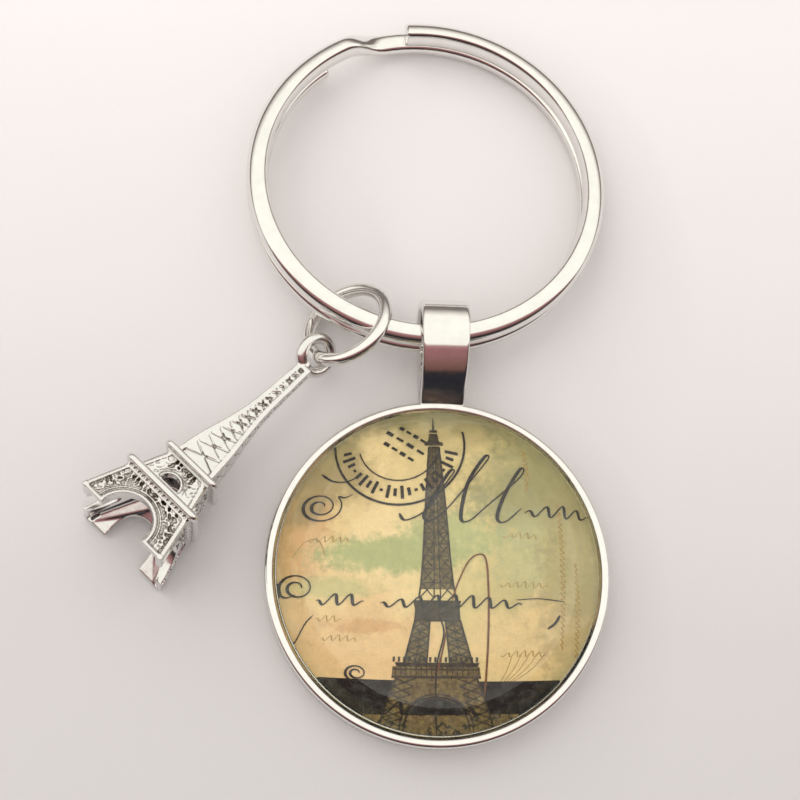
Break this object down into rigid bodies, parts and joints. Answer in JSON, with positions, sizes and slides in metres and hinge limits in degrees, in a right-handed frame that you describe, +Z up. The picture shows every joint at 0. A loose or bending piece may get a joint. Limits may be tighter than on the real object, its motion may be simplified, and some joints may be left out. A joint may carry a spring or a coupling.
{
  "type": "keychain",
  "caption": "Keychain with a coiled split ring, a round domed glass pendant on a strap bail and a small cast lattice tower charm hung from a jump ring.",
  "frame": {"origin": "centre of the pendant tray's flat back, which lies on the table", "axes": "+Z up out of the table through the glass; +Y from the pendant to the split ring; +X to the right seen from above"},
  "size_m": [0.0421, 0.0615, 0.0083],
  "materials": {
    "cast_plate": "polished nickel plate on zinc alloy",
    "ring_plate": "polished nickel plate on steel wire",
    "charm_plate": "bright silver plate on a zinc alloy casting",
    "adhesive": "clear adhesive film",
    "print": "printed picture",
    "glass": "clear polished glass"
  },
  "bodies": {
    "pendant": {"bezel_tray": "cast_plate", "bail": "cast_plate", "back_film": "adhesive", "picture_disc": "print", "front_film": "adhesive", "glass_cabochon": "glass"},
    "key_ring": {"split_ring": "ring_plate"},
    "link": {"jump_ring": "ring_plate"},
    "charm": {"tower_charm": "charm_plate"}
  },
  "joints": [
    {"name": "ring_swing", "type": "hinge", "parent": "pendant", "child": "key_ring", "pos_m": [0.0004, 0.01864, 0.0027], "axis": [1, 0, 0], "range_deg": [-150, 120]},
    {"name": "link_travel", "type": "hinge", "parent": "key_ring", "child": "link", "pos_m": [-0.00076, 0.03284, 0.00216], "axis": [0.03, 0.04, 0.9988], "range_deg": [-90, 2]},
    {"name": "charm_swing", "type": "hinge", "parent": "link", "child": "charm", "pos_m": [-0.00982, 0.01704, 0.00242], "axis": [0.5562, -0.4412, 0.7043], "range_deg": [-80, 130]}
  ]
}
